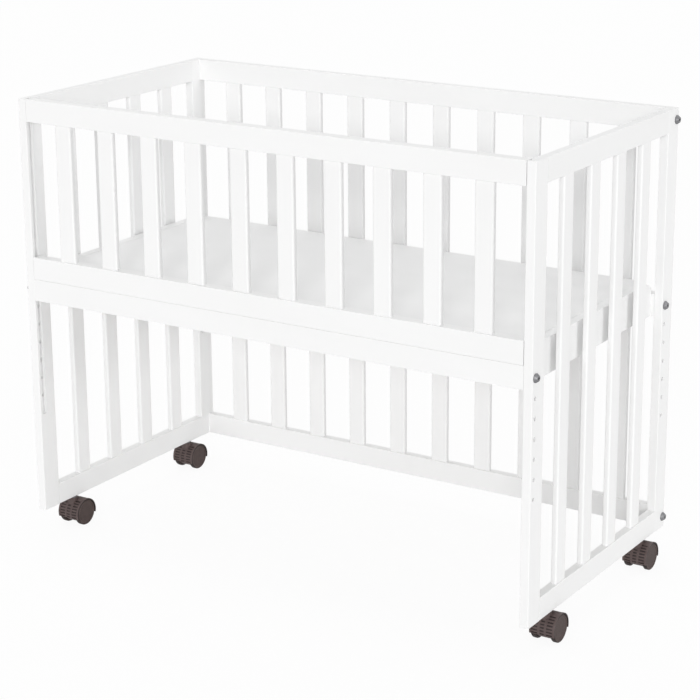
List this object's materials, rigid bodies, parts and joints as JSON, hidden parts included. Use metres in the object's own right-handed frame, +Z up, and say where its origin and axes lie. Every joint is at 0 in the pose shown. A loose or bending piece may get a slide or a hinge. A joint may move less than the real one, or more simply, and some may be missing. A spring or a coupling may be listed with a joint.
{
  "type": "bedside sleeper crib",
  "caption": "White bedside sleeper crib with a raised bed frame, a lift-off slatted front guard, slatted back and ends, and swivel casters.",
  "frame": {"origin": "on the floor, under the centre of the crib's bounding box", "axes": "+X along the length, to the right seen from the front; +Y to the back; +Z up"},
  "size_m": [0.9946, 0.497, 0.7815],
  "materials": {
    "white_lacquer": "satin white lacquer",
    "painted_board": "matt white paint",
    "bare_wood": "bare beech",
    "zinc_plated_steel": "zinc plated",
    "dark_plastic": "moulded, dark grey brown",
    "wheel_plastic": "moulded, dark grey brown"
  },
  "bodies": {
    "frame": {"left_front_post": "white_lacquer", "left_back_post": "white_lacquer", "left_top_rail": "white_lacquer", "left_bottom_rail": "white_lacquer", "left_end_slat_1": "white_lacquer", "left_end_slat_2": "white_lacquer", "left_end_slat_3": "white_lacquer", "left_end_slat_4": "white_lacquer", "right_front_post": "white_lacquer", "right_back_post": "white_lacquer", "right_top_rail": "white_lacquer", "right_bottom_rail": "white_lacquer", "right_end_slat_1": "white_lacquer", "right_end_slat_2": "white_lacquer", "right_end_slat_3": "white_lacquer", "right_end_slat_4": "white_lacquer", "back_top_rail": "white_lacquer", "back_bottom_rail": "white_lacquer", "back_slats": "white_lacquer", "bed_front_rail": "white_lacquer", "bed_back_rail": "white_lacquer", "bed_left_rail": "white_lacquer", "bed_right_rail": "white_lacquer", "bed_cleats": "bare_wood", "bed_base_board": "painted_board", "bed_locating_pins": "bare_wood", "joint_dowels": "bare_wood", "frame_bolts": "zinc_plated_steel", "barrel_nuts": "zinc_plated_steel", "caster_stems": "zinc_plated_steel", "caster_sleeves": "zinc_plated_steel"},
    "guard": {"guard_top_rail": "white_lacquer", "guard_bottom_rail": "white_lacquer", "guard_slat_1": "white_lacquer", "guard_slat_2": "white_lacquer", "guard_slat_3": "white_lacquer", "guard_slat_4": "white_lacquer", "guard_slat_5": "white_lacquer", "guard_slat_6": "white_lacquer", "guard_slat_7": "white_lacquer", "guard_slat_8": "white_lacquer", "guard_slat_9": "white_lacquer", "guard_slat_10": "white_lacquer", "guard_guide_pins": "bare_wood"},
    "front_left_caster": {"front_left_caster_housing": "dark_plastic", "front_left_caster_axle": "zinc_plated_steel"},
    "front_left_wheel_left": {"front_left_wheel_left": "wheel_plastic"},
    "front_left_wheel_right": {"front_left_wheel_right": "wheel_plastic"},
    "front_right_caster": {"front_right_caster_housing": "dark_plastic", "front_right_caster_axle": "zinc_plated_steel"},
    "front_right_wheel_left": {"front_right_wheel_left": "wheel_plastic"},
    "front_right_wheel_right": {"front_right_wheel_right": "wheel_plastic"},
    "back_left_caster": {"back_left_caster_housing": "dark_plastic", "back_left_caster_axle": "zinc_plated_steel"},
    "back_left_wheel_left": {"back_left_wheel_left": "wheel_plastic"},
    "back_left_wheel_right": {"back_left_wheel_right": "wheel_plastic"},
    "back_right_caster": {"back_right_caster_housing": "dark_plastic", "back_right_caster_axle": "zinc_plated_steel"},
    "back_right_wheel_left": {"back_right_wheel_left": "wheel_plastic"},
    "back_right_wheel_right": {"back_right_wheel_right": "wheel_plastic"}
  },
  "joints": [
    {"name": "guard_lift", "type": "slide", "parent": "frame", "child": "guard", "axis": [0, 0, 1], "range_m": [0, 0.3]},
    {"name": "front_left_swivel", "type": "hinge", "parent": "frame", "child": "front_left_caster", "pos_m": [-0.4754, -0.1685, 0.05], "axis": [0, 0, 1], "continuous": true},
    {"name": "front_left_roll_left", "type": "hinge", "parent": "front_left_caster", "child": "front_left_wheel_left", "pos_m": [-0.4928, -0.159, 0.023], "axis": [1, 0, 0], "continuous": true},
    {"name": "front_left_roll_right", "type": "hinge", "parent": "front_left_caster", "child": "front_left_wheel_right", "pos_m": [-0.458, -0.159, 0.023], "axis": [1, 0, 0], "continuous": true},
    {"name": "front_right_swivel", "type": "hinge", "parent": "frame", "child": "front_right_caster", "pos_m": [0.4754, -0.1685, 0.05], "axis": [0, 0, 1], "continuous": true},
    {"name": "front_right_roll_left", "type": "hinge", "parent": "front_right_caster", "child": "front_right_wheel_left", "pos_m": [0.458, -0.159, 0.023], "axis": [1, 0, 0], "continuous": true},
    {"name": "front_right_roll_right", "type": "hinge", "parent": "front_right_caster", "child": "front_right_wheel_right", "pos_m": [0.4928, -0.159, 0.023], "axis": [1, 0, 0], "continuous": true},
    {"name": "back_left_swivel", "type": "hinge", "parent": "frame", "child": "back_left_caster", "pos_m": [-0.4754, 0.1685, 0.05], "axis": [0, 0, 1], "continuous": true},
    {"name": "back_left_roll_left", "type": "hinge", "parent": "back_left_caster", "child": "back_left_wheel_left", "pos_m": [-0.4928, 0.178, 0.023], "axis": [1, 0, 0], "continuous": true},
    {"name": "back_left_roll_right", "type": "hinge", "parent": "back_left_caster", "child": "back_left_wheel_right", "pos_m": [-0.458, 0.178, 0.023], "axis": [1, 0, 0], "continuous": true},
    {"name": "back_right_swivel", "type": "hinge", "parent": "frame", "child": "back_right_caster", "pos_m": [0.4754, 0.1685, 0.05], "axis": [0, 0, 1], "continuous": true},
    {"name": "back_right_roll_left", "type": "hinge", "parent": "back_right_caster", "child": "back_right_wheel_left", "pos_m": [0.458, 0.178, 0.023], "axis": [1, 0, 0], "continuous": true},
    {"name": "back_right_roll_right", "type": "hinge", "parent": "back_right_caster", "child": "back_right_wheel_right", "pos_m": [0.4928, 0.178, 0.023], "axis": [1, 0, 0], "continuous": true}
  ]
}
